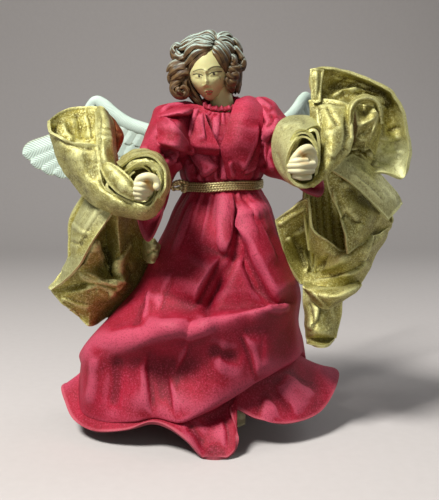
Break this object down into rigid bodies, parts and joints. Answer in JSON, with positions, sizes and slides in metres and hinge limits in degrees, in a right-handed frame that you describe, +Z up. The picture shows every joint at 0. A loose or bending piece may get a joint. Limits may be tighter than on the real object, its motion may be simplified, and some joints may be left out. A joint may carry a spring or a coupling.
{
  "type": "angel figurine",
  "caption": "Standing robed angel figurine of stiffened cloth with a cast head, fists and feathered wings, a gathered skirt, braid belt and flaring draped sash.",
  "frame": {"origin": "the middle of the bounding box, on the table under the hem", "axes": "+X towards the left hand of the figure, -Y the way it faces, +Z up from the hem to the crown"},
  "size_m": [0.2516, 0.2018, 0.2546],
  "materials": {
    "robe_cloth": "matte crimson weave",
    "sash_cloth": "antique gold metallic weave with a rust reverse",
    "gold_braid": "plaited metallic cord",
    "cast_skin": "satin cream paint",
    "cast_hair": "satin brown paint",
    "cast_wing": "pale mint paint",
    "core_paper": "wound paper",
    "peg_wood": "plain dowel",
    "armature_wire": "bare wire"
  },
  "bodies": {
    "root": {"torso_core": "core_paper", "neck_peg": "peg_wood", "head": "cast_skin", "hair": "cast_hair", "arm_wire_right": "armature_wire", "arm_wire_left": "armature_wire", "hand_right": "cast_skin", "hand_left": "cast_skin", "leg_wire_right": "armature_wire", "leg_wire_left": "armature_wire", "foot_right": "cast_skin", "foot_left": "cast_skin", "wing_staple_right": "armature_wire", "wing_staple_left": "armature_wire", "wing_right": "cast_wing", "wing_left": "cast_wing", "bodice": "robe_cloth", "collar": "robe_cloth", "sleeve_right": "robe_cloth", "sleeve_left": "robe_cloth", "skirt": "robe_cloth", "belt": "gold_braid", "belt_knot": "gold_braid", "sash_coil_right": "sash_cloth", "sash_coil_left": "sash_cloth", "sash_flare_right": "sash_cloth", "sash_flare_left": "sash_cloth", "sash_tail_right": "sash_cloth", "sash_tail_left": "sash_cloth"}
  },
  "joints": []
}
